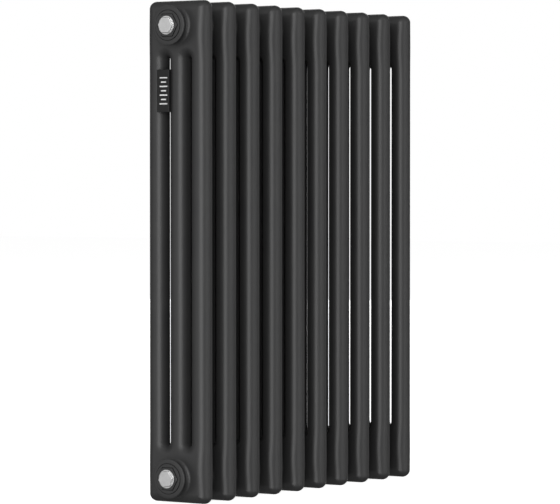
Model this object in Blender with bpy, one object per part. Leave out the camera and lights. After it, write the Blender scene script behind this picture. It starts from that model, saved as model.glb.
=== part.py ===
"""Column radiator of tubular steel: ten sections, three columns deep, with plugged hubs and an air vent.

Frame: +X runs along the row of sections, +Y points to the wall and +Z is up. The origin is the
middle of the bounding box's bottom. All values are in metres.
"""

from math import cos, pi, radians, sin

import bmesh
import bpy
from mathutils import Matrix

# Whole radiator
SECTION_COUNT = 10
SECTION_PITCH = 0.045
COLUMN_PITCH = 0.0294
HUB_DISTANCE = 0.500
HUB_TO_EDGE = 0.028
GAP = 0.0003

# Column tubes
TUBE_RADIUS = 0.011
TUBE_WALL = 0.0015
TUBE_SIDES = 12

# Pressed heads, measured from the hub axis
CORNER_RADIUS = 0.0085
CORNER_STEPS = 2
ARCH_DROP = 0.0367
ARCH_STEPS = 4
STUB_LENGTH = 0.0063
DUCT_OVERLAP = 0.004
DUCT_SIDES = 8
HUB_BORE_RADIUS = 0.01515
HUB_WALL = 0.00235
HUB_SIDES = 16

# Hub bushes
TURNED_SIDES = 24
BUSH_SPIGOT_LENGTH = 0.010
BUSH_FLANGE_OVERLAP = 0.0045
BUSH_FLANGE_THICKNESS = 0.0018
BUSH_FLANGE_CHAMFER = 0.0006
BUSH_RING_LIP = 0.00265
BUSH_RING_THICKNESS = 0.0007
BUSH_HEX_WALL = 0.0027
BUSH_HEX_THICKNESS = 0.0011
PORT_RADIUS = 0.0093

# Blanking plugs
PLUG_SPIGOT_LENGTH = 0.009
COLLAR_OVERLAP = 0.0010
COLLAR_THICKNESS = 0.0009
PLUG_HEX_APOTHEM = 0.0085
PLUG_HEX_THICKNESS = 0.00235
PLUG_CHAMFER = 0.0004
UPPER_PLUG_TURN = radians(-3.0)
LOWER_PLUG_TURN = radians(9.0)

# Air vent
VENT_HEX_THICKNESS = 0.003
VENT_NECK_RADIUS = 0.0055
VENT_NECK_LENGTH = 0.0045
VENT_BORE_RADIUS = 0.0026
NOZZLE_WALL = 0.0022
SPOUT_RADIUS = 0.0017
SPOUT_REACH = 0.0035
SPOUT_SIDES = 10
SPINDLE_LENGTH_IN_BODY = 0.008
SPINDLE_COLLAR_LIP = 0.0008
SPINDLE_COLLAR_THICKNESS = 0.0012
SPINDLE_SQUARE_APOTHEM = 0.0025
SPINDLE_SQUARE_LENGTH = 0.0033

# Badge
BADGE_WIDTH = 0.0165
BADGE_HEIGHT = 0.0473
BADGE_THICKNESS = 0.0047
BADGE_DROP = 0.0716
BADGE_CLIP_CLEARANCE = 0.0012
BADGE_CLIP_HEIGHT = 0.0200
BADGE_CLIP_DEPTH = 0.0120

# Heights and places that follow from the sizes above
LOWER_HUB_Z = HUB_TO_EDGE
UPPER_HUB_Z = HUB_TO_EDGE + HUB_DISTANCE
EDGE_INSET = TUBE_RADIUS * (1 - sin(pi / TUBE_SIDES) / cos(pi / TUBE_SIDES))
HEAD_CORNER = max(CORNER_RADIUS, EDGE_INSET + GAP)
HUB_RADIUS = HUB_BORE_RADIUS + HUB_WALL
STUB_DROP = ARCH_DROP + STUB_LENGTH
HALF_HEAD = (SECTION_PITCH - GAP) / 2
TUBE_BORE_RADIUS = TUBE_RADIUS - TUBE_WALL
BUSH_FLANGE_RADIUS = HUB_RADIUS + BUSH_FLANGE_OVERLAP
BUSH_HEX_APOTHEM = PORT_RADIUS + BUSH_HEX_WALL
BUSH_RING_RADIUS = BUSH_HEX_APOTHEM / cos(pi / 6) + BUSH_RING_LIP
BUSH_HEIGHT = GAP + BUSH_FLANGE_THICKNESS + BUSH_RING_THICKNESS + BUSH_HEX_THICKNESS
COLLAR_RADIUS = PORT_RADIUS + COLLAR_OVERLAP
PLUG_HEIGHT = GAP + COLLAR_THICKNESS + PLUG_HEX_THICKNESS
VENT_HEX_TOP = GAP + COLLAR_THICKNESS + VENT_HEX_THICKNESS
VENT_NECK_TOP = VENT_HEX_TOP + VENT_NECK_LENGTH
NOZZLE_RADIUS = VENT_NECK_RADIUS + GAP + NOZZLE_WALL
SPINDLE_COLLAR_RADIUS = VENT_NECK_RADIUS + GAP + SPINDLE_COLLAR_LIP
SPINDLE_TOP = VENT_NECK_TOP + GAP + SPINDLE_COLLAR_THICKNESS + SPINDLE_SQUARE_LENGTH
NEAR_OVERHANG = BUSH_HEIGHT + PLUG_HEIGHT
FAR_OVERHANG = BUSH_HEIGHT + SPINDLE_TOP
ROW_SHIFT = (NEAR_OVERHANG - FAR_OVERHANG) / 2

TO_PLUS_X = (0, pi / 2, 0)
TO_MINUS_X = (0, -pi / 2, 0)


def clear_scene():
    """Remove whatever objects the file holds."""
    for old in list(bpy.data.objects):
        bpy.data.objects.remove(old, do_unlink=True)


def collection(name):
    """Make a collection in the scene."""
    made = bpy.data.collections.new(name)
    bpy.context.scene.collection.children.link(made)
    return made


def material(name, colour, roughness, metallic):
    """Make a Principled material."""
    made = bpy.data.materials.new(name)
    made.use_nodes = True
    shader = made.node_tree.nodes["Principled BSDF"]
    shader.inputs["Base Color"].default_value = (*colour, 1.0)
    shader.inputs["Roughness"].default_value = roughness
    shader.inputs["Metallic"].default_value = metallic
    return made


def finish_mesh(mesh_bm, name):
    """Turn a bmesh into a mesh with outward normals, smooth round sides and sharp edges."""
    bmesh.ops.recalc_face_normals(mesh_bm, faces=mesh_bm.faces)
    mesh = bpy.data.meshes.new(name)
    mesh_bm.to_mesh(mesh)
    mesh_bm.free()
    mesh.shade_smooth()
    mesh.set_sharp_from_angle(angle=radians(35))
    return mesh


def add_object(name, mesh, location, rotation=(0, 0, 0)):
    """Place one mesh in the radiator's collection."""
    made = bpy.data.objects.new(name, mesh)
    made.location = location
    made.rotation_euler = rotation
    RADIATOR.objects.link(made)
    return made


def add_tool(name, mesh, location, rotation=(0, 0, 0)):
    """Place a shape that another object joins or cuts with."""
    tool = bpy.data.objects.new(name, mesh)
    tool.location = location
    tool.rotation_euler = rotation
    tool.hide_render = True
    tool.display_type = "WIRE"
    GUIDES.objects.link(tool)
    return tool


def add_boolean(obj, operation, tool):
    """Join or cut one object with another."""
    step = obj.modifiers.new(tool.name, "BOOLEAN")
    step.operation = operation
    step.object = tool
    step.solver = "EXACT"


def paint(obj, surface):
    """Give an object its material, also where its mesh is shared."""
    if not obj.data.materials:
        obj.data.materials.append(surface)


def round_outline(radius):
    """Points lie on a circle: the outside of a turned piece."""
    return lambda angle, sides: radius


def hole_outline(radius):
    """Flats touch a circle: a hole that a shaft of this radius clears at any angle."""
    return lambda angle, sides: radius / cos(pi / sides)


def flats_outline(flats, apothem):
    """Points lie on a regular polygon whose first flat faces the local X axis."""

    def reach(angle, sides):
        step = 2 * pi / flats
        return apothem / cos((angle + step / 2) % step - step / 2)

    return reach


def loft(name, stations, sides, half_turn=False, ring=False):
    """Join outlines up the local Z axis; a ring closes on its first outline, else the ends are capped."""
    bm = bmesh.new()
    first_angle = pi / sides if half_turn else 0.0
    loops = []
    for z, outline in stations:
        angles = [first_angle + 2 * pi * step / sides for step in range(sides)]
        radii = [outline(angle, sides) for angle in angles]
        loops.append([bm.verts.new((r * cos(a), r * sin(a), z)) for a, r in zip(angles, radii)])
    pairs = list(zip(loops, loops[1:]))
    if ring:
        pairs.append((loops[-1], loops[0]))
    else:
        bm.faces.new(loops[0])
        bm.faces.new(loops[-1])
    for lower, upper in pairs:
        for step in range(sides):
            after = (step + 1) % sides
            bm.faces.new((lower[step], lower[after], upper[after], upper[step]))
    return finish_mesh(bm, name)


def tube_mesh(length):
    """A hollow column tube standing on its lower end; its flats face X and Y."""
    outside = hole_outline(TUBE_RADIUS)
    inside = hole_outline(TUBE_BORE_RADIUS)
    stations = [(0, outside), (length, outside), (length, inside), (0, inside)]
    return loft("column_tube", stations, TUBE_SIDES, half_turn=True, ring=True)


def head_runs():
    """The head's edge as open runs of (point, direction into the metal), hub axis at the origin."""
    side = COLUMN_PITCH + TUBE_RADIUS
    half_slot = COLUMN_PITCH / 2 - TUBE_RADIUS
    corner_y = side - HEAD_CORNER
    corner_z = HUB_TO_EDGE - HEAD_CORNER
    outer = [((-side, -STUB_DROP), (1, 0))]
    for centre_y, start in ((-corner_y, pi), (corner_y, pi / 2)):
        for step in range(CORNER_STEPS + 1):
            angle = start - step * pi / 2 / CORNER_STEPS
            point = (centre_y + HEAD_CORNER * cos(angle), corner_z + HEAD_CORNER * sin(angle))
            outer.append((point, (-cos(angle), -sin(angle))))
    outer.append(((side, -STUB_DROP), (-1, 0)))
    runs = [outer]
    for slot_y in (COLUMN_PITCH / 2, -COLUMN_PITCH / 2):
        slot = [((slot_y + half_slot, -STUB_DROP), (1, 0))]
        for step in range(ARCH_STEPS + 1):
            angle = step * pi / ARCH_STEPS
            point = (slot_y + half_slot * cos(angle), -ARCH_DROP + half_slot * sin(angle))
            slot.append((point, (cos(angle), sin(angle))))
        slot.append(((slot_y - half_slot, -STUB_DROP), (-1, 0)))
        runs.append(slot)
    return runs


def head_shell():
    """The pressing without its hub: the edge is rounded like the tubes that it runs into."""
    bm = bmesh.new()
    runs = head_runs()
    rim = [entry for run in runs for entry in run]
    run_ends = set()
    for run in runs:
        run_ends.add((max(run_ends) if run_ends else -1) + len(run))
    half_step = pi / TUBE_SIDES
    corner_reach = TUBE_RADIUS / cos(half_step)
    levels = []
    for step in range(TUBE_SIDES // 2):
        angle = -pi / 2 + half_step + step * 2 * half_step
        inset = TUBE_RADIUS - corner_reach * cos(angle)
        x = corner_reach * sin(angle)
        levels.append([bm.verts.new((x, y + ny * inset, z + nz * inset)) for (y, z), (ny, nz) in rim])
    for lower, upper in zip(levels, levels[1:]):
        for index in range(len(rim)):
            if index not in run_ends:
                after = index + 1
                bm.faces.new((lower[index], lower[after], upper[after], upper[index]))
    bm.faces.new(levels[0])
    bm.faces.new(levels[-1])
    for end in run_ends:
        start = (end + 1) % len(rim)
        bm.faces.new([level[end] for level in levels] + [level[start] for level in reversed(levels)])
    return finish_mesh(bm, "head_shell")


def cylinder_between(name, radius, sides, low, high, turn):
    """A plain cylinder from low to high along its local Z axis, turned into place."""
    stations = [(low, hole_outline(radius)), (high, hole_outline(radius))]
    mesh = loft(name, stations, sides, half_turn=True)
    mesh.transform(turn)
    return mesh


def combine(shell, steps):
    """Apply Booleans to a mesh in turn and return the result as one mesh."""
    blank = add_tool("head_blank", shell, (0, 0, 0))
    for number, (operation, mesh) in enumerate(steps):
        add_boolean(blank, operation, add_tool(f"head_tool_{number}", mesh, (0, 0, 0)))
    depsgraph = bpy.context.evaluated_depsgraph_get()
    result = bpy.data.meshes.new_from_object(blank.evaluated_get(depsgraph))
    result.name = "head"
    result.shade_smooth()
    result.set_sharp_from_angle(angle=radians(35))
    return result


def head_mesh():
    """A whole head, hub axis at the origin, stubs down: hub, bore across it and water ways inside."""
    along_x = Matrix.Rotation(pi / 2, 4, "Y")
    along_y = Matrix.Rotation(pi / 2, 4, "X")
    hub = cylinder_between("hub", HUB_RADIUS, HUB_SIDES, -HALF_HEAD, HALF_HEAD, along_x)
    bore = cylinder_between("bore", HUB_BORE_RADIUS, HUB_SIDES, -SECTION_PITCH, SECTION_PITCH, along_x)
    gallery = cylinder_between(
        "gallery", TUBE_BORE_RADIUS, DUCT_SIDES, -COLUMN_PITCH, COLUMN_PITCH, along_y
    )
    steps = [("UNION", hub), ("DIFFERENCE", bore), ("DIFFERENCE", gallery)]
    for column in (-1, 0, 1):
        place = Matrix.Translation((0, column * COLUMN_PITCH, 0))
        low = -STUB_DROP - DUCT_OVERLAP
        duct = cylinder_between("duct", TUBE_BORE_RADIUS, DUCT_SIDES, low, DUCT_OVERLAP, place)
        steps.append(("DIFFERENCE", duct))
    return combine(head_shell(), steps)


def bush_mesh():
    """A hub bush seated at local z = 0: spigot inside the hub, flange, ring and hexagon outside it."""
    spigot = round_outline(HUB_BORE_RADIUS - GAP)
    flange = round_outline(BUSH_FLANGE_RADIUS)
    flange_top = GAP + BUSH_FLANGE_THICKNESS
    ring_top = flange_top + BUSH_RING_THICKNESS
    hexagon = flats_outline(6, BUSH_HEX_APOTHEM)
    port = hole_outline(PORT_RADIUS)
    stations = [
        (-BUSH_SPIGOT_LENGTH, spigot),
        (GAP, spigot),
        (GAP, flange),
        (flange_top - BUSH_FLANGE_CHAMFER, flange),
        (flange_top, round_outline(BUSH_FLANGE_RADIUS - BUSH_FLANGE_CHAMFER)),
        (flange_top, round_outline(BUSH_RING_RADIUS)),
        (ring_top, round_outline(BUSH_RING_RADIUS)),
        (ring_top, hexagon),
        (BUSH_HEIGHT, hexagon),
        (BUSH_HEIGHT, port),
        (-BUSH_SPIGOT_LENGTH, port),
    ]
    return loft("bush", stations, TURNED_SIDES, ring=True)


def port_fitting_stations():
    """The stretch that a plug and the vent body share: spigot in the port, then the round collar."""
    spigot = round_outline(PORT_RADIUS - GAP)
    collar = round_outline(COLLAR_RADIUS)
    return [(-PLUG_SPIGOT_LENGTH, spigot), (GAP, spigot), (GAP, collar), (GAP + COLLAR_THICKNESS, collar)]


def plug_mesh():
    """A blanking plug seated at local z = 0, with a chamfered hexagon."""
    hexagon = flats_outline(6, PLUG_HEX_APOTHEM)
    stations = port_fitting_stations()
    stations.append((GAP + COLLAR_THICKNESS, hexagon))
    stations.append((PLUG_HEIGHT - PLUG_CHAMFER, hexagon))
    stations.append((PLUG_HEIGHT, flats_outline(6, PLUG_HEX_APOTHEM - PLUG_CHAMFER)))
    return loft("plug", stations, TURNED_SIDES)


def vent_body_mesh():
    """The vent's body seated at local z = 0: hexagon, then the neck that carries the nozzle."""
    hexagon = flats_outline(6, PLUG_HEX_APOTHEM)
    neck = round_outline(VENT_NECK_RADIUS)
    bore = hole_outline(VENT_BORE_RADIUS)
    stations = port_fitting_stations()
    stations.append((GAP + COLLAR_THICKNESS, hexagon))
    stations.append((VENT_HEX_TOP, hexagon))
    stations.append((VENT_HEX_TOP, neck))
    stations.append((VENT_NECK_TOP, neck))
    stations.append((VENT_NECK_TOP, bore))
    stations.append((-PLUG_SPIGOT_LENGTH, bore))
    return loft("vent_body", stations, TURNED_SIDES, ring=True)


def vent_spindle_mesh():
    """The spindle: shank in the body's bore, collar that keeps the nozzle on, square for the key."""
    shank = round_outline(VENT_BORE_RADIUS - GAP)
    collar = round_outline(SPINDLE_COLLAR_RADIUS)
    square = flats_outline(4, SPINDLE_SQUARE_APOTHEM)
    collar_base = VENT_NECK_TOP + GAP
    collar_top = collar_base + SPINDLE_COLLAR_THICKNESS
    stations = [
        (VENT_NECK_TOP - SPINDLE_LENGTH_IN_BODY, shank),
        (collar_base, shank),
        (collar_base, collar),
        (collar_top, collar),
        (collar_top, square),
        (SPINDLE_TOP, square),
    ]
    return loft("vent_spindle", stations, TURNED_SIDES)


def vent_nozzle_mesh():
    """The nozzle: a ring that turns on the neck."""
    inside = hole_outline(VENT_NECK_RADIUS + GAP)
    outside = round_outline(NOZZLE_RADIUS)
    low = VENT_HEX_TOP + GAP
    stations = [(low, outside), (VENT_NECK_TOP, outside), (VENT_NECK_TOP, inside), (low, inside)]
    return loft("vent_nozzle", stations, TURNED_SIDES, ring=True)


def add_spout(nozzle):
    """Join a short spout to the nozzle, pointing down."""
    root = VENT_NECK_RADIUS + 3 * GAP
    reach = NOZZLE_RADIUS + SPOUT_REACH
    middle = (VENT_HEX_TOP + GAP + VENT_NECK_TOP) / 2
    mesh = cylinder_between("spout", SPOUT_RADIUS, SPOUT_SIDES, root, reach, Matrix())
    x, y, z = nozzle.location
    add_boolean(nozzle, "UNION", add_tool("spout_tool", mesh, (x + middle, y, z), (pi, 0, 0)))


def tube_stand_out(offset):
    """How far a column tube's faceted side stands out in X, at an offset in Y from its axis."""
    angles = [step * 2 * pi / TUBE_SIDES for step in range(TUBE_SIDES // 4)]
    return min((TUBE_RADIUS - offset * sin(angle)) / cos(angle) for angle in angles)


def box_mesh(name, low, high):
    """A box between two corners."""
    bm = bmesh.new()
    bmesh.ops.create_cube(bm, size=1.0)
    sizes = [b - a for a, b in zip(low, high)]
    middle = [(a + b) / 2 for a, b in zip(low, high)]
    bmesh.ops.scale(bm, vec=sizes, verts=bm.verts)
    bmesh.ops.translate(bm, vec=middle, verts=bm.verts)
    return finish_mesh(bm, name)


def section_x(number):
    """Middle of a section, counted from 0 at the near end."""
    return (number - (SECTION_COUNT - 1) / 2) * SECTION_PITCH + ROW_SHIFT


def build_sections(surface):
    """Two heads and three column tubes for every section."""
    head = head_mesh()
    tube = tube_mesh(HUB_DISTANCE - 2 * STUB_DROP - 2 * GAP)
    tube_base = LOWER_HUB_Z + STUB_DROP + GAP
    for number in range(SECTION_COUNT):
        x = section_x(number)
        label = f"section_{number + 1:02d}"
        paint(add_object(f"{label}_upper_head", head, (x, 0, UPPER_HUB_Z)), surface)
        paint(add_object(f"{label}_lower_head", head, (x, 0, LOWER_HUB_Z), (pi, 0, 0)), surface)
        for column, side in (("front", -1), ("middle", 0), ("rear", 1)):
            place = (x, side * COLUMN_PITCH, tube_base)
            paint(add_object(f"{label}_{column}_tube", tube, place), surface)


def build_hub_fittings(painted, bright, plastic):
    """Bushes in the four end hubs, two blanking plugs and the air vent."""
    near_seat = section_x(0) - HALF_HEAD
    far_seat = section_x(SECTION_COUNT - 1) + HALF_HEAD
    bush = bush_mesh()
    for end, x, turn in (("near", near_seat, TO_MINUS_X), ("far", far_seat, TO_PLUS_X)):
        for level, z in (("upper", UPPER_HUB_Z), ("lower", LOWER_HUB_Z)):
            paint(add_object(f"{end}_{level}_bush", bush, (x, 0, z), turn), painted)

    plug = plug_mesh()
    plug_x = near_seat - BUSH_HEIGHT
    turns = (("upper", UPPER_HUB_Z, UPPER_PLUG_TURN), ("lower", LOWER_HUB_Z, LOWER_PLUG_TURN))
    for level, z, spin in turns:
        placed = add_object(f"near_{level}_plug", plug, (plug_x, 0, z), TO_MINUS_X)
        placed.rotation_euler.rotate_axis("Z", spin)
        paint(placed, bright)

    vent_place = (far_seat + BUSH_HEIGHT, 0, UPPER_HUB_Z)
    paint(add_object("vent_body", vent_body_mesh(), vent_place, TO_PLUS_X), bright)
    paint(add_object("vent_spindle", vent_spindle_mesh(), vent_place, TO_PLUS_X), bright)
    nozzle = add_object("vent_nozzle", vent_nozzle_mesh(), vent_place, TO_PLUS_X)
    add_spout(nozzle)
    paint(nozzle, plastic)


def build_badge(surface):
    """A plain badge clipped between the middle and rear columns of the near section."""
    back = -tube_stand_out(COLUMN_PITCH / 2 - BADGE_WIDTH / 2) - GAP
    half_width = BADGE_WIDTH / 2
    half_height = BADGE_HEIGHT / 2
    place = (section_x(0), COLUMN_PITCH / 2, UPPER_HUB_Z - BADGE_DROP)
    plate = box_mesh(
        "badge", (back - BADGE_THICKNESS, -half_width, -half_height), (back, half_width, half_height)
    )
    half_clip = COLUMN_PITCH / 2 - TUBE_RADIUS - BADGE_CLIP_CLEARANCE
    clip_rise = BADGE_CLIP_HEIGHT / 2
    clip = box_mesh(
        "badge_clip",
        (back - BADGE_THICKNESS / 2, -half_clip, -clip_rise),
        (back + BADGE_CLIP_DEPTH, half_clip, clip_rise),
    )
    badge = add_object("badge", plate, place)
    add_boolean(badge, "UNION", add_tool("badge_clip_tool", clip, place))
    paint(badge, surface)


clear_scene()
RADIATOR = collection("radiator")
GUIDES = collection("guides")
powder_coat = material("powder_coat", (0.048, 0.048, 0.048), 0.45, 0.0)
chrome = material("chrome", (0.62, 0.62, 0.61), 0.22, 1.0)
vent_plastic = material("vent_plastic", (0.75, 0.75, 0.73), 0.5, 0.0)
badge_plastic = material("badge_plastic", (0.04, 0.04, 0.04), 0.5, 0.0)
build_sections(powder_coat)
build_hub_fittings(powder_coat, chrome, vent_plastic)
build_badge(badge_plastic)
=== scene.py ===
"""Studio picture of a ten-section column radiator with plugged hubs and a manual air vent.

Everything is in metres, in the CAD frame: +X along the row, +Y to the wall, +Z up.
"""

from math import cos, pi, radians, sin, tan

import bmesh
import bpy
from mathutils import Matrix, Vector


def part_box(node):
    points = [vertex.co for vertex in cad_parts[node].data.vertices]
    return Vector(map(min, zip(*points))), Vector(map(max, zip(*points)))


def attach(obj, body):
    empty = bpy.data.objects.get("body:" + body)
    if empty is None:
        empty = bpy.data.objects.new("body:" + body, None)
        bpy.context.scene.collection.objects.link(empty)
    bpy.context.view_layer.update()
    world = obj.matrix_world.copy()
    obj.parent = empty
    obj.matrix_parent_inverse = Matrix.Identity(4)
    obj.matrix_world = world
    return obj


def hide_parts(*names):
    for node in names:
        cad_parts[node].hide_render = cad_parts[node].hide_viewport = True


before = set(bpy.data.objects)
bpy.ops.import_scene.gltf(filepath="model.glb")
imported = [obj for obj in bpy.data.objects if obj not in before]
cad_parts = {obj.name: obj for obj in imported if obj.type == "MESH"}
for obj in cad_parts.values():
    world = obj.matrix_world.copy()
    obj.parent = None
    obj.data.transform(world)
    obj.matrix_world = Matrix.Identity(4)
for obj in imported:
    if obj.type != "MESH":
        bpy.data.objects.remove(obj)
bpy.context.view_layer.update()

# Sizes read from the frame -------------------------------------------------------------------

SECTION_COUNT = sum(name.endswith("_upper_head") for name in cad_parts)
HEAD_LOW, HEAD_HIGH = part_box("section_01_upper_head")
FRONT_LOW, FRONT_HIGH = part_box("section_01_front_tube")
MIDDLE_LOW, MIDDLE_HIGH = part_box("section_01_middle_tube")
NEAR_BUSH_LOW, NEAR_BUSH_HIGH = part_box("near_upper_bush")
FAR_BUSH_LOW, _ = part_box("far_upper_bush")
BADGE_LOW, BADGE_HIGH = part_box("badge")

NEAR_SECTION_X = (HEAD_LOW.x + HEAD_HIGH.x) / 2
TUBE_RADIUS = (FRONT_HIGH.x - FRONT_LOW.x) / 2
COLUMN_PITCH = (MIDDLE_HIGH.y + MIDDLE_LOW.y - FRONT_HIGH.y - FRONT_LOW.y) / 2
HALF_DEPTH = HEAD_HIGH.y
TOP = HEAD_HIGH.z
HALF_HEAD = (HEAD_HIGH.x - HEAD_LOW.x) / 2
UPPER_HUB_Z = (NEAR_BUSH_HIGH.z + NEAR_BUSH_LOW.z) / 2
LOWER_HUB_Z = TOP - UPPER_HUB_Z

# Shapes that the frame's boxes don't give ----------------------------------------------------

# Painted sections: the outline seen along X, the hubs, and the swell of the pressed heads.
CORNER_RADIUS = 0.0085
ARCH_DROP = 0.0367
LOWER_ARCH_RISE = 0.0016
SLOT_NARROWING = 0.00065
ROUNDING_STEPS = 24
CORNER_STEPS = 10
ARCH_STEPS = 20
HUB_RADIUS = 0.0182
HUB_BORE_RADIUS = 0.01515
HUB_FILLET = 0.0044
HUB_FILLET_STEPS = 8
HUB_SINK = 0.00003
HUB_EDGE = 0.0005
HUB_MEET = 0.00014
SWELL = 0.0011
SWELL_DROP = 0.009
SWELL_ABOVE = 0.030
SWELL_BELOW = 0.036
SWELL_SLICE = 0.0020
SECTION_SHARP = 40

# Bushes.
TURNED_SIDES = 96
GAP = 0.0003
SPIGOT_LENGTH = 0.010
FLANGE_RADIUS = 0.022
FLANGE_THICKNESS = 0.0018
FLANGE_ROUND = 0.0007
FLANGE_ROUND_KNEE = 0.3
RING_RADIUS = 0.0165
GROOVE_WIDTH = 0.0007
GROOVE_DEPTH = 0.0011
RING_THICKNESS = 0.0007
BUSH_HEX_APOTHEM = 0.012
BUSH_HEX_THICKNESS = 0.0011
BUSH_HEX_CHAMFER = 0.0004
BUSH_HEX_CORNER = 1.06
BUSH_HEIGHT = GAP + FLANGE_THICKNESS + RING_THICKNESS + BUSH_HEX_THICKNESS
PORT_RADIUS = 0.0093
THREAD_DEPTH = 0.0007
THREAD_PITCH = 0.0018
PAINT_EDGE = 0.00035

# Blanking plugs. A hexagon's corners are cut at HEX_CORNER times its half width across flats.
PLUG_SPIGOT_LENGTH = 0.009
COLLAR_RADIUS = 0.0103
COLLAR_THICKNESS = 0.0009
PLUG_HEX_APOTHEM = 0.0085
PLUG_HEX_THICKNESS = 0.00235
PLUG_EDGE = 0.00015
HEX_CHAMFER = 0.0005
HEX_CORNER = 1.14
UPPER_PLUG_TURN = radians(-3.0)
LOWER_PLUG_TURN = radians(9.0)

# Air vent.
VENT_HEX_THICKNESS = 0.003
VENT_NECK_RADIUS = 0.0055
VENT_NECK_LENGTH = 0.0045
VENT_BORE_RADIUS = 0.0026
NOZZLE_RADIUS = 0.0080
NOZZLE_EDGE = 0.0002
GRIP_DEPTH = 0.00025
GRIP_WAVES = 12
SPOUT_RADIUS = 0.0017
SPOUT_BORE = 0.0009
SPOUT_REACH = 0.0035
SPOUT_SIDES = 32
SPOUT_BORE_SIDES = 24
SPINDLE_SHANK = 0.0083
SPINDLE_COLLAR_RADIUS = 0.0066
SPINDLE_COLLAR_THICKNESS = 0.0012
SPINDLE_SQUARE_APOTHEM = 0.0025
SPINDLE_SQUARE_LENGTH = 0.0033
SPINDLE_SQUARE_CORNER = 1.33
SPINDLE_CHAMFER = 0.0003
SPINDLE_CHAMFER_CORNER = 1.15

# Badge and its printed bars, long and short in turn.
BADGE_THICKNESS = 0.0047
BADGE_EDGE = 0.0006
CLIP_CLEARANCE = 0.0012
CLIP_HALF_HEIGHT = 0.010
BAR_COUNT = 7
BAR_PITCH = 0.0048
BAR_LONG = 0.0104
BAR_SHORT = 0.0068
BAR_HEIGHT = 0.0014
BAR_THICKNESS = 0.0004
BAR_SINK = 0.00005
BAR_SHIFT = 0.0012
BAR_EDGE = 0.0001

# Mesh finish, angles in degrees.
SHARP_ANGLE = 35
BEVEL_ANGLE = 30
BEVEL_SEGMENTS = 3

# Materials: tones are dark and light, roughness is low and high, bumps are strength and metres.
# Noise scales are per metre.
PAINT_TONES = ((0.0255, 0.0255, 0.026), (0.0300, 0.0300, 0.0300))
PAINT_SPECKS = ((0.90, 0.90, 0.90), (1.06, 1.06, 1.06))
PAINT_ROUGHNESS = (0.41, 0.49)
PAINT_SPECULAR = 0.42
PAINT_CLOUD_SCALE = 26.0
PAINT_PEEL_SCALE = 620.0
PAINT_PEEL_BUMP = (0.35, 0.00008)
PAINT_GRAIN_SCALE = 2600.0
PAINT_GRAIN_BUMP = (0.15, 0.00003)
NICKEL_TONES = ((0.65, 0.65, 0.65), (0.72, 0.72, 0.72))
NICKEL_ROUGHNESS = (0.40, 0.48)
NICKEL_SMEAR_SCALE = 240.0
NICKEL_RING_SCALE = 5200.0
NICKEL_RING_BUMP = (0.25, 0.00002)
PLASTIC_SPECULAR = 0.3
PLASTIC_CLOUD_SCALE = 90.0
PLASTIC_GRAIN_SCALE = 5200.0
PLASTIC_GRAIN_BUMP = (0.3, 0.00003)
VENT_TONES = ((0.62, 0.62, 0.60), (0.70, 0.70, 0.68))
VENT_ROUGHNESS = (0.42, 0.55)
BADGE_TONES = ((0.008, 0.008, 0.008), (0.012, 0.012, 0.012))
BADGE_ROUGHNESS = (0.5, 0.6)
INK_TONES = ((0.62, 0.62, 0.62), (0.72, 0.72, 0.72))
INK_ROUGHNESS = (0.45, 0.6)
FLOOR_TONES = ((0.86, 0.86, 0.86), (0.90, 0.90, 0.90))
FLOOR_MOTTLE_SCALE = 7.0
FLOOR_ROUGHNESS = 0.8

TO_PLUS_X = Matrix.Rotation(pi / 2, 4, "Y")
TO_MINUS_X = Matrix.Rotation(-pi / 2, 4, "Y")


# Node helpers --------------------------------------------------------------------------------

def new_material(name):
    """A new material; returns it with its node tree and its shader."""
    made = bpy.data.materials.new(name)
    made.use_nodes = True
    return made, made.node_tree, made.node_tree.nodes["Principled BSDF"]


def node(tree, kind, inputs=None, **settings):
    """Add a node, set its properties and its inputs (values, or sockets to link)."""
    made = tree.nodes.new(kind)
    for key, value in settings.items():
        setattr(made, key, value)
    for key, value in (inputs or {}).items():
        if isinstance(value, bpy.types.NodeSocket):
            tree.links.new(value, made.inputs[key])
        else:
            made.inputs[key].default_value = value
    return made


def noise(tree, vector, scale, detail=2.0, roughness=0.5):
    """Noise from 0 to 1 over a vector."""
    texture = node(
        tree,
        "ShaderNodeTexNoise",
        {"Vector": vector, "Scale": scale, "Detail": detail, "Roughness": roughness},
    )
    return texture.outputs["Fac"]


def two_tone(tree, factor, tones, start=0.3, end=0.7):
    """Colour that goes from the first tone to the second as the factor goes from start to end."""
    made = node(tree, "ShaderNodeValToRGB", {"Fac": factor})
    for element, position, tone in zip(made.color_ramp.elements, (start, end), tones):
        element.position = position
        element.color = (*tone, 1.0)
    return made.outputs["Color"]


def remap(tree, value, limits):
    """Map 0..1 noise onto two limits."""
    low, high = limits
    made = node(tree, "ShaderNodeMapRange", {"Value": value, "To Min": low, "To Max": high})
    return made.outputs["Result"]


def bump(tree, height, relief, normal=None):
    """Bump of a strength and a depth in metres, on top of another bump if one is given."""
    strength, distance = relief
    inputs = {"Height": height, "Strength": strength, "Distance": distance}
    if normal is not None:
        inputs["Normal"] = normal
    return node(tree, "ShaderNodeBump", inputs).outputs["Normal"]


def object_space(tree):
    """Texture coordinates in the piece's own metres."""
    return node(tree, "ShaderNodeTexCoord").outputs["Object"]


# Materials -----------------------------------------------------------------------------------

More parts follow.
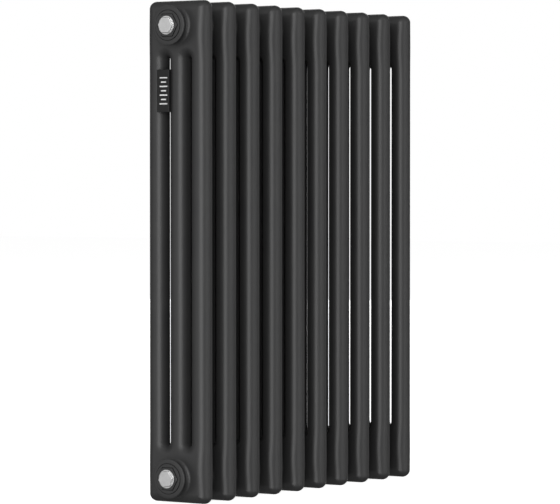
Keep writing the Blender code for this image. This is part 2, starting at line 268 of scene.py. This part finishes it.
def powder_coat_material():
    """Anthracite powder coat: fine orange peel, with slight changes of tone and gloss."""
    made, tree, shader = new_material("powder_coat")
    space = object_space(tree)
    cloud = noise(tree, space, PAINT_CLOUD_SCALE, 3.0)
    grain = noise(tree, space, PAINT_GRAIN_SCALE)
    peel = noise(tree, space, PAINT_PEEL_SCALE, 3.0, 0.55)
    colour = node(tree, "ShaderNodeMix", data_type="RGBA", blend_type="MULTIPLY", clamp_factor=True)
    mix_factor, mix_base, mix_layer, mixed = 0, 6, 7, 2
    colour.inputs[mix_factor].default_value = 1.0
    tree.links.new(two_tone(tree, cloud, PAINT_TONES), colour.inputs[mix_base])
    tree.links.new(two_tone(tree, grain, PAINT_SPECKS, 0.35, 0.65), colour.inputs[mix_layer])
    tree.links.new(colour.outputs[mixed], shader.inputs["Base Color"])
    tree.links.new(remap(tree, cloud, PAINT_ROUGHNESS), shader.inputs["Roughness"])
    peel_bump = bump(tree, peel, PAINT_PEEL_BUMP)
    tree.links.new(bump(tree, grain, PAINT_GRAIN_BUMP, peel_bump), shader.inputs["Normal"])
    shader.inputs["Specular IOR Level"].default_value = PAINT_SPECULAR
    return made


def nickel_material():
    """Satin nickel: faint turning rings about the piece's own axis, and handling smears."""
    made, tree, shader = new_material("satin_nickel")
    space = object_space(tree)
    split = node(tree, "ShaderNodeSeparateXYZ", {"Vector": space})
    across = node(tree, "ShaderNodeCombineXYZ", {"X": split.outputs["X"], "Y": split.outputs["Y"]})
    radius = node(tree, "ShaderNodeVectorMath", {0: across.outputs["Vector"]}, operation="LENGTH")
    from_axis = node(tree, "ShaderNodeCombineXYZ", {"X": radius.outputs["Value"]})
    rings = noise(tree, from_axis.outputs["Vector"], NICKEL_RING_SCALE, 3.0)
    smear = noise(tree, space, NICKEL_SMEAR_SCALE, 3.0)
    tree.links.new(two_tone(tree, smear, NICKEL_TONES), shader.inputs["Base Color"])
    tree.links.new(remap(tree, smear, NICKEL_ROUGHNESS), shader.inputs["Roughness"])
    tree.links.new(bump(tree, rings, NICKEL_RING_BUMP), shader.inputs["Normal"])
    shader.inputs["Metallic"].default_value = 1.0
    return made


def plastic_material(name, tones, roughness):
    """Moulded plastic with a fine spark-eroded texture."""
    made, tree, shader = new_material(name)
    space = object_space(tree)
    cloud = noise(tree, space, PLASTIC_CLOUD_SCALE)
    grain = noise(tree, space, PLASTIC_GRAIN_SCALE)
    tree.links.new(two_tone(tree, cloud, tones), shader.inputs["Base Color"])
    tree.links.new(remap(tree, cloud, roughness), shader.inputs["Roughness"])
    tree.links.new(bump(tree, grain, PLASTIC_GRAIN_BUMP), shader.inputs["Normal"])
    shader.inputs["Specular IOR Level"].default_value = PLASTIC_SPECULAR
    return made


def floor_material():
    """Pale studio floor with a faint mottle, which glows so that it reads near white."""
    made, tree, shader = new_material("pale_floor")
    mottle = noise(tree, object_space(tree), FLOOR_MOTTLE_SCALE, 3.0)
    tree.links.new(two_tone(tree, mottle, FLOOR_TONES), shader.inputs["Base Color"])
    shader.inputs["Roughness"].default_value = FLOOR_ROUGHNESS
    shader.inputs["Emission Color"].default_value = (1.0, 1.0, 1.0, 1.0)
    shader.inputs["Emission Strength"].default_value = FLOOR_GLOW
    return made


# Mesh helpers --------------------------------------------------------------------------------

def circle(radius):
    """Outline function: a circle."""
    return lambda angle: radius


def polygon(flats, apothem, limit=None):
    """Outline function: a regular polygon with a flat facing local X, its corners cut at a limit."""

    def reach(angle):
        step = 2 * pi / flats
        radius = apothem / cos((angle + step / 2) % step - step / 2)
        return min(radius, limit) if limit else radius

    return reach


def loft(name, stations, ring=False, sides=TURNED_SIDES):
    """Mesh through outlines stacked up local Z; closed on itself if it is a ring, else capped."""
    bm = bmesh.new()
    loops = []
    for z, outline in stations:
        angles = [2 * pi * step / sides for step in range(sides)]
        loops.append([bm.verts.new((outline(a) * cos(a), outline(a) * sin(a), z)) for a in angles])
    pairs = list(zip(loops, loops[1:]))
    if ring:
        pairs.append((loops[-1], loops[0]))
    else:
        bm.faces.new(loops[0])
        bm.faces.new(loops[-1])
    for lower, upper in pairs:
        for step in range(sides):
            after = (step + 1) % sides
            bm.faces.new((lower[step], lower[after], upper[after], upper[step]))
    return to_mesh(bm, name)


def to_mesh(bm, name):
    """Finish a bmesh: outward normals, smooth shading, sharp edges above an angle."""
    bmesh.ops.recalc_face_normals(bm, faces=bm.faces)
    mesh = bpy.data.meshes.new(name)
    bm.to_mesh(mesh)
    bm.free()
    return smoothed(mesh)


def smoothed(mesh, sharp=SHARP_ANGLE):
    """Shade a mesh smooth, with sharp edges above an angle in degrees."""
    mesh.shade_smooth()
    mesh.set_sharp_from_angle(angle=radians(sharp))
    return mesh


def place(name, mesh, matrix, surface, edge=0.0):
    """Make a piece, turn it into place, and round its edges by a width in metres."""
    piece = bpy.data.objects.new(name, mesh)
    bpy.context.scene.collection.objects.link(piece)
    piece.matrix_world = matrix
    if not mesh.materials:
        mesh.materials.append(surface)
    if edge:
        rounding = piece.modifiers.new("edges", "BEVEL")
        rounding.width = edge
        rounding.segments = BEVEL_SEGMENTS
        rounding.limit_method = "ANGLE"
        rounding.angle_limit = radians(BEVEL_ANGLE)
        rounding.harden_normals = True
    return piece


def booleans(mesh, steps):
    """Join and cut a mesh with others; returns one new mesh."""
    helpers = []

    def helper_object(helper_mesh):
        helper = bpy.data.objects.new("boolean_helper", helper_mesh)
        bpy.context.scene.collection.objects.link(helper)
        helpers.append(helper)
        return helper

    base = helper_object(mesh)
    for operation, tool_mesh in steps:
        tool = helper_object(tool_mesh)
        step = base.modifiers.new(operation, "BOOLEAN")
        step.operation = operation
        step.object = tool
        step.solver = "EXACT"
    bpy.context.view_layer.update()
    depsgraph = bpy.context.evaluated_depsgraph_get()
    result = bpy.data.meshes.new_from_object(base.evaluated_get(depsgraph))
    for helper in helpers:
        bpy.data.objects.remove(helper, do_unlink=True)
    return result


def fit(piece, body, slot, *nodes):
    """Tie a piece to its body and hide the CAD nodes that it stands for; slot is not used."""
    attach(piece, body)
    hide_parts(*nodes)


# Painted sections ----------------------------------------------------------------------------

def rim_loops():
    """The section's edge seen along X: the outer loop and two slots.

    Each entry is (point, direction into the metal, corner). A corner is the centre of a rounded
    outer corner, where the inset stops turning and mitres.
    """
    arch_high = UPPER_HUB_Z - ARCH_DROP
    arch_low = LOWER_HUB_Z + ARCH_DROP + LOWER_ARCH_RISE
    corner_y = HALF_DEPTH - CORNER_RADIUS
    high, low = TOP - CORNER_RADIUS, CORNER_RADIUS
    outer = [
        ((-HALF_DEPTH, arch_low), (1, 0), None),
        ((-HALF_DEPTH, arch_high), (1, 0), None),
    ]

    def corner(centre, start):
        for step in range(CORNER_STEPS + 1):
            angle = start - step * pi / 2 / CORNER_STEPS
            y = centre[0] + CORNER_RADIUS * cos(angle)
            z = centre[1] + CORNER_RADIUS * sin(angle)
            outer.append(((y, z), (-cos(angle), -sin(angle)), centre))

    corner((-corner_y, high), pi)
    corner((corner_y, high), pi / 2)
    outer.append(((HALF_DEPTH, arch_high), (-1, 0), None))
    outer.append(((HALF_DEPTH, arch_low), (-1, 0), None))
    corner((corner_y, low), 0)
    corner((-corner_y, low), -pi / 2)

    loops = [outer]
    half_slot = COLUMN_PITCH / 2 - TUBE_RADIUS - SLOT_NARROWING
    for slot_y in (-COLUMN_PITCH / 2, COLUMN_PITCH / 2):
        slot = []
        for centre_z, start in ((arch_high, 0), (arch_low, pi)):
            for step in range(ARCH_STEPS + 1):
                angle = start + step * pi / ARCH_STEPS
                y = slot_y + half_slot * cos(angle)
                z = centre_z + half_slot * sin(angle)
                slot.append(((y, z), (cos(angle), sin(angle)), None))
        loops.append(slot)
    return loops


def inset_point(entry, inset):
    """A rim point moved into the metal; past a corner's radius it follows the corner's mitre."""
    (y, z), (ny, nz), corner = entry
    if corner and inset > CORNER_RADIUS:
        over = inset - CORNER_RADIUS
        toward_y = 1 if corner[0] < 0 else -1
        toward_z = 1 if corner[1] < TOP / 2 else -1
        return corner[0] + toward_y * over, corner[1] + toward_z * over
    return y + ny * inset, z + nz * inset


def section_shell():
    """Columns and heads as one skin: flat sides, with the tubes' own round all along the edge."""
    bm = bmesh.new()
    known = {}

    def vertex(x, y, z):
        key = (round(x, 7), round(y, 7), round(z, 7))
        if key not in known:
            known[key] = bm.verts.new((x, y, z))
        return known[key]

    def face(corners):
        unique = [v for index, v in enumerate(corners) if v is not corners[index - 1]]
        if len(set(unique)) > 2:
            bm.faces.new(unique)

    rings = []
    for loop in rim_loops():
        levels = []
        for step in range(ROUNDING_STEPS + 1):
            angle = -pi / 2 + step * pi / ROUNDING_STEPS
            inset = TUBE_RADIUS * (1 - cos(angle))
            x = TUBE_RADIUS * sin(angle)
            levels.append([vertex(x, *inset_point(entry, inset)) for entry in loop])
        rings.append(levels)
        for lower, upper in zip(levels, levels[1:]):
            for index in range(len(loop)):
                after = (index + 1) % len(loop)
                face([lower[index], lower[after], upper[after], upper[index]])

    side_count = 2
    corner_points = 2 * (CORNER_STEPS + 1)
    rear_side = side_count + corner_points
    arch_points = ARCH_STEPS + 1
    for level in (0, -1):
        outer, front_slot, rear_slot = (ring[level] for ring in rings)
        upper_head = outer[1:rear_side + 1] + rear_slot[:arch_points] + front_slot[:arch_points]
        lower_head = outer[rear_side + 1:] + outer[:1]
        lower_head += front_slot[arch_points:] + rear_slot[arch_points:]
        face(upper_head)
        face(lower_head)
        face(outer[:2] + front_slot[arch_points - 1:arch_points + 1])
        face([front_slot[-1], front_slot[0]] + rear_slot[arch_points - 1:arch_points + 1])
        face(outer[rear_side:rear_side + 2] + [rear_slot[-1], rear_slot[0]])
    return to_mesh(bm, "section_shell")


def hub_tool(hub_z):
    """A hub through a section along X, filleted where it leaves the flat sides; hubs all but meet."""
    face = HALF_HEAD + HUB_MEET
    stations = [(-face, circle(HUB_RADIUS - HUB_EDGE)), (HUB_EDGE - face, circle(HUB_RADIUS))]
    fillet = []
    for step in range(HUB_FILLET_STEPS + 1):
        angle = step * pi / 2 / HUB_FILLET_STEPS
        x = TUBE_RADIUS - HUB_SINK + HUB_FILLET * (1 - sin(angle))
        fillet.append((x, circle(HUB_RADIUS + HUB_FILLET * (1 - cos(angle)))))
    stations += [(-x, outline) for x, outline in fillet]
    stations += reversed(fillet)
    stations += [(face - HUB_EDGE, circle(HUB_RADIUS)), (face, circle(HUB_RADIUS - HUB_EDGE))]
    mesh = loft("hub", stations)
    mesh.transform(Matrix.Translation((0, 0, hub_z)) @ TO_PLUS_X)
    return mesh


def bore_tool(hub_z):
    """The bore that runs through every hub."""
    outline = circle(HUB_BORE_RADIUS)
    mesh = loft("bore", [(-2 * HALF_HEAD, outline), (2 * HALF_HEAD, outline)])
    mesh.transform(Matrix.Translation((0, 0, hub_z)) @ TO_PLUS_X)
    return mesh


def swell_share(z):
    """How much of the full swell the pressed heads have at a height: most just inside each hub."""
    inward = UPPER_HUB_Z - max(z, TOP - z) - SWELL_DROP
    reach = SWELL_BELOW if inward > 0 else SWELL_ABOVE
    away = min(abs(inward) / reach, 1.0)
    return cos(away * pi / 2) ** 2


def swell_heads(mesh):
    """Fatten a section's sides around its hubs; the hub faces stay where they are.

    The sides are sliced first, from where they turn flat, so that they can bend.
    """
    bm = bmesh.new()
    bm.from_mesh(mesh)
    zone = SWELL_BELOW + SWELL_DROP + TOP - UPPER_HUB_Z - TUBE_RADIUS
    slices = int(zone / SWELL_SLICE)
    for index in range(slices + 1):
        inward = TUBE_RADIUS + index * SWELL_SLICE
        for height in (inward, TOP - inward):
            geometry = bm.verts[:] + bm.edges[:] + bm.faces[:]
            bmesh.ops.bisect_plane(bm, geom=geometry, plane_co=(0, 0, height), plane_no=(0, 0, 1))
    for vertex in bm.verts:
        out = abs(vertex.co.x)
        if out <= TUBE_RADIUS:
            share = (out / TUBE_RADIUS) ** 2
        else:
            share = max(HALF_HEAD - out, 0.0) / (HALF_HEAD - TUBE_RADIUS)
        rise = SWELL * share * swell_share(vertex.co.z)
        vertex.co.x += rise if vertex.co.x > 0 else -rise
    bm.to_mesh(mesh)
    bm.free()


def build_sections(surface):
    """Ten welded and painted sections, each standing for its two heads and three tubes."""
    steps = []
    for hub_z in (UPPER_HUB_Z, LOWER_HUB_Z):
        steps.append(("UNION", hub_tool(hub_z)))
        steps.append(("DIFFERENCE", bore_tool(hub_z)))
    mesh = booleans(section_shell(), steps)
    swell_heads(mesh)
    mesh.name = "section"
    smoothed(mesh, SECTION_SHARP)
    for number in range(1, SECTION_COUNT + 1):
        label = f"section_{number:02d}"
        low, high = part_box(f"{label}_upper_head")
        centre = Matrix.Translation(((low.x + high.x) / 2, 0, 0))
        piece = place(f"{label}_body", mesh, centre, surface)
        weighting = piece.modifiers.new("face_weight", "WEIGHTED_NORMAL")
        weighting.keep_sharp = True
        weighting.weight = 100
        parts = [f"{label}_{part}" for part in ("upper_head", "lower_head")]
        parts += [f"{label}_{column}_tube" for column in ("front", "middle", "rear")]
        fit(piece, "radiator", "powder_coat", *parts)


# Hub fittings --------------------------------------------------------------------------------

def bush_mesh():
    """Bush seated at local z = 0: spigot, flange, raised ring, hexagon and a threaded port."""
    flange_top = GAP + FLANGE_THICKNESS
    ring_top = flange_top + RING_THICKNESS
    spigot = circle(HUB_BORE_RADIUS - GAP)
    hexagon = polygon(6, BUSH_HEX_APOTHEM)
    recess = polygon(6, BUSH_HEX_APOTHEM + GROOVE_WIDTH)
    chamfered = polygon(6, BUSH_HEX_APOTHEM, BUSH_HEX_APOTHEM * BUSH_HEX_CORNER)
    knee = FLANGE_ROUND_KNEE * FLANGE_ROUND
    stations = [
        (-SPIGOT_LENGTH, spigot),
        (GAP, spigot),
        (GAP, circle(FLANGE_RADIUS)),
        (flange_top - FLANGE_ROUND, circle(FLANGE_RADIUS)),
        (flange_top - knee, circle(FLANGE_RADIUS - knee)),
        (flange_top, circle(FLANGE_RADIUS - FLANGE_ROUND)),
        (flange_top, circle(RING_RADIUS + GROOVE_WIDTH)),
        (flange_top - GROOVE_DEPTH, circle(RING_RADIUS + GROOVE_WIDTH)),
        (flange_top - GROOVE_DEPTH, circle(RING_RADIUS)),
        (ring_top, circle(RING_RADIUS)),
        (ring_top, recess),
        (ring_top - GROOVE_DEPTH, recess),
        (ring_top - GROOVE_DEPTH, hexagon),
        (BUSH_HEIGHT - BUSH_HEX_CHAMFER, hexagon),
        (BUSH_HEIGHT, chamfered),
        (BUSH_HEIGHT, circle(PORT_RADIUS + THREAD_DEPTH)),
    ]
    z = BUSH_HEIGHT - THREAD_PITCH / 2
    while z > -SPIGOT_LENGTH + THREAD_PITCH:
        stations.append((z, circle(PORT_RADIUS)))
        stations.append((z - THREAD_PITCH / 2, circle(PORT_RADIUS + THREAD_DEPTH)))
        z -= THREAD_PITCH
    stations.append((-SPIGOT_LENGTH, circle(PORT_RADIUS)))
    return loft("bush", stations, ring=True)


def plug_hexagon(inset=0.0):
    """Outline of the plugs' and the vent's hexagon, its corners slightly cut."""
    apothem = PLUG_HEX_APOTHEM - inset
    return polygon(6, apothem, apothem * HEX_CORNER)


def fitting_root():
    """The stretch that a plug and the vent's body share: spigot, then round collar."""
    return [
        (-PLUG_SPIGOT_LENGTH, circle(PORT_RADIUS - GAP)),
        (GAP, circle(PORT_RADIUS - GAP)),
        (GAP, circle(COLLAR_RADIUS)),
        (GAP + COLLAR_THICKNESS, circle(COLLAR_RADIUS)),
        (GAP + COLLAR_THICKNESS, plug_hexagon()),
    ]


def plug_mesh():
    """Blanking plug seated at local z = 0, its hexagon chamfered all round."""
    top = GAP + COLLAR_THICKNESS + PLUG_HEX_THICKNESS
    stations = fitting_root()
    stations.append((top - HEX_CHAMFER, plug_hexagon()))
    stations.append((top, plug_hexagon(HEX_CHAMFER)))
    return loft("plug", stations)


def vent_body_mesh():
    """Air vent's body: hexagon, neck and the bore for the spindle."""
    hex_top = GAP + COLLAR_THICKNESS + VENT_HEX_THICKNESS
    neck_top = hex_top + VENT_NECK_LENGTH
    stations = fitting_root()
    stations.append((hex_top - HEX_CHAMFER, plug_hexagon()))
    stations.append((hex_top, plug_hexagon(HEX_CHAMFER)))
    stations.append((hex_top, circle(VENT_NECK_RADIUS)))
    stations.append((neck_top, circle(VENT_NECK_RADIUS)))
    stations.append((neck_top, circle(VENT_BORE_RADIUS)))
    stations.append((-PLUG_SPIGOT_LENGTH, circle(VENT_BORE_RADIUS)))
    return loft("vent_body", stations, ring=True)


def vent_nozzle_mesh():
    """Nozzle: a gripped ring round the neck with a hollow spout pointing along local X."""
    low = GAP + COLLAR_THICKNESS + VENT_HEX_THICKNESS + GAP
    high = low - GAP + VENT_NECK_LENGTH
    middle = (low + high) / 2

    def gripped(angle):
        return NOZZLE_RADIUS - GRIP_DEPTH * (1 - abs(cos(GRIP_WAVES * angle)))

    inside = circle(VENT_NECK_RADIUS + GAP)
    ring = loft("nozzle", [(low, gripped), (high, gripped), (high, inside), (low, inside)], ring=True)
    spout_top = NOZZLE_RADIUS + SPOUT_REACH
    tube = circle(SPOUT_RADIUS)
    bore = circle(SPOUT_BORE)
    spout = loft("spout", [(VENT_NECK_RADIUS + 3 * GAP, tube), (spout_top, tube)], sides=SPOUT_SIDES)
    hole = loft("hole", [(0.0, bore), (2 * spout_top, bore)], sides=SPOUT_BORE_SIDES)
    turn = Matrix.Translation((0, 0, middle)) @ TO_PLUS_X
    spout.transform(turn)
    hole.transform(turn)
    return smoothed(booleans(ring, [("UNION", spout), ("DIFFERENCE", hole)]))


def vent_spindle_mesh():
    """Spindle: shank, collar and the square that a radiator key turns."""
    collar_base = GAP + COLLAR_THICKNESS + VENT_HEX_THICKNESS + VENT_NECK_LENGTH + GAP
    collar_top = collar_base + SPINDLE_COLLAR_THICKNESS
    top = collar_top + SPINDLE_SQUARE_LENGTH
    square = polygon(4, SPINDLE_SQUARE_APOTHEM, SPINDLE_SQUARE_APOTHEM * SPINDLE_SQUARE_CORNER)
    end = polygon(
        4, SPINDLE_SQUARE_APOTHEM - SPINDLE_CHAMFER, SPINDLE_SQUARE_APOTHEM * SPINDLE_CHAMFER_CORNER
    )
    return loft(
        "vent_spindle",
        [
            (collar_base - SPINDLE_SHANK, circle(VENT_BORE_RADIUS - GAP)),
            (collar_base, circle(VENT_BORE_RADIUS - GAP)),
            (collar_base, circle(SPINDLE_COLLAR_RADIUS)),
            (collar_top, circle(SPINDLE_COLLAR_RADIUS)),
            (collar_top, square),
            (top - SPINDLE_CHAMFER, square),
            (top, end),
        ],
    )


def build_fittings(painted, bright, plastic):
    """Bushes at the four ends, two plugs near the camera and the air vent at the far top."""
    near_seat = NEAR_BUSH_HIGH.x - SPIGOT_LENGTH
    far_seat = FAR_BUSH_LOW.x + SPIGOT_LENGTH
    bush = bush_mesh()
    for end, seat, turn in (("near", near_seat, TO_MINUS_X), ("far", far_seat, TO_PLUS_X)):
        for level, z in (("upper", UPPER_HUB_Z), ("lower", LOWER_HUB_Z)):
            name = f"{end}_{level}_bush"
            matrix = Matrix.Translation((seat, 0, z)) @ turn
            piece = place(f"{name}_painted", bush, matrix, painted, PAINT_EDGE)
            fit(piece, "radiator", "powder_coat", name)

    plug = plug_mesh()
    plug_x = near_seat - BUSH_HEIGHT
    turns = (("upper", UPPER_HUB_Z, UPPER_PLUG_TURN), ("lower", LOWER_HUB_Z, LOWER_PLUG_TURN))
    for level, z, spin in turns:
        matrix = Matrix.Translation((plug_x, 0, z)) @ TO_MINUS_X @ Matrix.Rotation(spin, 4, "Z")
        piece = place(f"near_{level}_plug_bright", plug, matrix, bright, PLUG_EDGE)
        fit(piece, "radiator", "bright_plug", f"near_{level}_plug")

    vent = Matrix.Translation((far_seat + BUSH_HEIGHT, 0, UPPER_HUB_Z)) @ TO_PLUS_X
    piece = place("vent_body_bright", vent_body_mesh(), vent, bright, PLUG_EDGE)
    fit(piece, "radiator", "bright_plug", "vent_body")
    piece = place("vent_spindle_bright", vent_spindle_mesh(), vent, bright, PLUG_EDGE)
    fit(piece, "vent_spindle", "bright_plug", "vent_spindle")
    piece = place("vent_nozzle_moulded", vent_nozzle_mesh(), vent, plastic, NOZZLE_EDGE)
    fit(piece, "vent_nozzle", "vent_plastic", "vent_nozzle")


# Badge ---------------------------------------------------------------------------------------

def box_bmesh(low, high):
    """A box between two corners, as a bmesh."""
    bm = bmesh.new()
    bmesh.ops.create_cube(bm, size=1.0)
    size = [b - a for a, b in zip(low, high)]
    middle = [(a + b) / 2 for a, b in zip(low, high)]
    bmesh.ops.scale(bm, vec=size, verts=bm.verts)
    bmesh.ops.translate(bm, vec=middle, verts=bm.verts)
    return bm


def build_badge(body, print_ink):
    """Badge clipped between two columns: a rounded plate with a generic mark of pale bars."""
    half_width = (BADGE_HIGH.y - BADGE_LOW.y) / 2
    half_height = (BADGE_HIGH.z - BADGE_LOW.z) / 2
    middle = Vector((BADGE_LOW.x, BADGE_LOW.y + half_width, BADGE_LOW.z + half_height))
    seat = Matrix.Translation(middle)
    clip_depth = BADGE_HIGH.x - BADGE_LOW.x
    clip_half = COLUMN_PITCH / 2 - TUBE_RADIUS - CLIP_CLEARANCE
    plate = box_bmesh((0, -half_width, -half_height), (BADGE_THICKNESS, half_width, half_height))
    clip = box_bmesh(
        (BADGE_THICKNESS / 2, -clip_half, -CLIP_HALF_HEIGHT), (clip_depth, clip_half, CLIP_HALF_HEIGHT)
    )
    mesh = booleans(to_mesh(plate, "badge_plate"), [("UNION", to_mesh(clip, "badge_clip"))])
    piece = place("badge_plate", smoothed(mesh), seat, body, BADGE_EDGE)
    fit(piece, "radiator", "badge_plastic", "badge")

    bars = bmesh.new()
    for index in range(BAR_COUNT):
        length = BAR_SHORT if index % 2 else BAR_LONG
        z = (index - (BAR_COUNT - 1) / 2) * BAR_PITCH
        bar = bmesh.ops.create_cube(bars, size=1.0)["verts"]
        bmesh.ops.scale(bars, vec=(BAR_THICKNESS, length, BAR_HEIGHT), verts=bar)
        bmesh.ops.translate(bars, vec=(-BAR_SINK, -BAR_SHIFT, z), verts=bar)
    marks = place("badge_marks", to_mesh(bars, "badge_marks"), seat, print_ink, BAR_EDGE)
    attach(marks, "radiator")


# Studio --------------------------------------------------------------------------------------

def build_floor():
    """A wide pale floor under the radiator that throws no light back up."""
    bm = bmesh.new()
    bmesh.ops.create_grid(bm, x_segments=1, y_segments=1, size=FLOOR_REACH)
    mesh = bpy.data.meshes.new("floor")
    bm.to_mesh(mesh)
    bm.free()
    floor = bpy.data.objects.new("studio_floor", mesh)
    bpy.context.scene.collection.objects.link(floor)
    mesh.materials.append(floor_material())
    floor.visible_diffuse = False
    floor.visible_glossy = False
    floor.visible_shadow = False


def build_world():
    """White surroundings to the lens, and a dim even grey for what the surfaces receive."""
    world = bpy.data.worlds.new("studio")
    bpy.context.scene.world = world
    world.use_nodes = True
    tree = world.node_tree
    background = tree.nodes["Background"]
    path = node(tree, "ShaderNodeLightPath")
    strength = node(
        tree,
        "ShaderNodeMapRange",
        {"Value": path.outputs["Is Camera Ray"], "To Min": WORLD_FILL, "To Max": WORLD_SEEN},
    )
    background.inputs["Color"].default_value = (1, 1, 1, 1)
    tree.links.new(strength.outputs["Result"], background.inputs["Strength"])


def softbox(name, azimuth, elevation, spread, tall, radiance):
    """A rectangular softbox aimed at the radiator's middle; angles in degrees, azimuth from +X."""
    heading, lift = radians(azimuth), radians(elevation)
    away = Vector((cos(heading) * cos(lift), sin(heading) * cos(lift), sin(lift))) * LIGHT_DISTANCE
    data = bpy.data.lights.new(name, "AREA")
    data.shape = "RECTANGLE"
    data.size = 2 * LIGHT_DISTANCE * tan(radians(spread) / 2)
    data.size_y = tall
    data.energy = radiance * pi * data.size * tall
    light = bpy.data.objects.new(name, data)
    bpy.context.scene.collection.objects.link(light)
    light.location = away + Vector((0, 0, TOP / 2))
    light.rotation_euler = away.to_track_quat("Z", "Y").to_euler()
    light.visible_camera = False


def build_camera():
    """Long-lens camera to the front left of the near end, slightly above the middle."""
    data = bpy.data.cameras.new("camera")
    data.lens = CAMERA_LENS
    data.sensor_width = SENSOR_WIDTH
    data.clip_end = CLIP_END
    camera = bpy.data.objects.new("camera", data)
    bpy.context.scene.collection.objects.link(camera)
    near_column = Vector((NEAR_SECTION_X, -COLUMN_PITCH, 0))
    sight = Vector((cos(CAMERA_HEADING), sin(CAMERA_HEADING), 0))
    right = Vector((sight.y, -sight.x, 0))
    camera.location = near_column - CAMERA_DISTANCE * sight + CAMERA_SIDE * right
    camera.location.z = CAMERA_HEIGHT
    camera.rotation_euler = (pi / 2 - CAMERA_DIP, 0, CAMERA_HEADING - pi / 2)
    bpy.context.scene.camera = camera


# Camera, world and lights; CAMERA_HEADING is from +X and CAMERA_DIP is below the horizontal.
CAMERA_HEADING = radians(34.87)
CAMERA_DISTANCE = 3.5413
CAMERA_SIDE = 0.0856
CAMERA_HEIGHT = 0.3524
CAMERA_DIP = radians(1.198)
CAMERA_LENS = 206.45
SENSOR_WIDTH = 36.0
CLIP_END = 100.0
WORLD_FILL = 0.14
WORLD_SEEN = 1.0
FLOOR_REACH = 14.0
FLOOR_GLOW = 0.86
LIGHT_DISTANCE = 6.0

# Softboxes: name, azimuth, elevation and spread in degrees, height in metres, radiance.
SOFTBOXES = (
    ("key", 202, 7, 34, 6.2, 4.7),
    ("front", 265, 7, 17, 6.2, 2.75),
    ("side", 298, 7, 15, 6.2, 1.5),
    ("flank", 150, 7, 44, 6.2, 0.65),
    ("flank_top", 150, 55, 33, 3.6, 0.6),
    ("flank_low", 150, -50, 33, 3.6, 0.1),
    ("overhead", 250, 60, 33, 3.6, 0.6),
    ("rear", 60, 7, 30, 6.2, 0.45),
    ("end", 28, 7, 30, 6.2, 1.9),
    ("far", 345, 7, 20, 6.2, 0.3),
)

paint = powder_coat_material()
build_sections(paint)
build_fittings(paint, nickel_material(), plastic_material("vent_plastic", VENT_TONES, VENT_ROUGHNESS))
build_badge(
    plastic_material("badge_plastic", BADGE_TONES, BADGE_ROUGHNESS),
    plastic_material("badge_ink", INK_TONES, INK_ROUGHNESS),
)
build_floor()
build_world()
for settings in SOFTBOXES:
    softbox(*settings)
build_camera()
bpy.context.scene.view_settings.view_transform = "Standard"
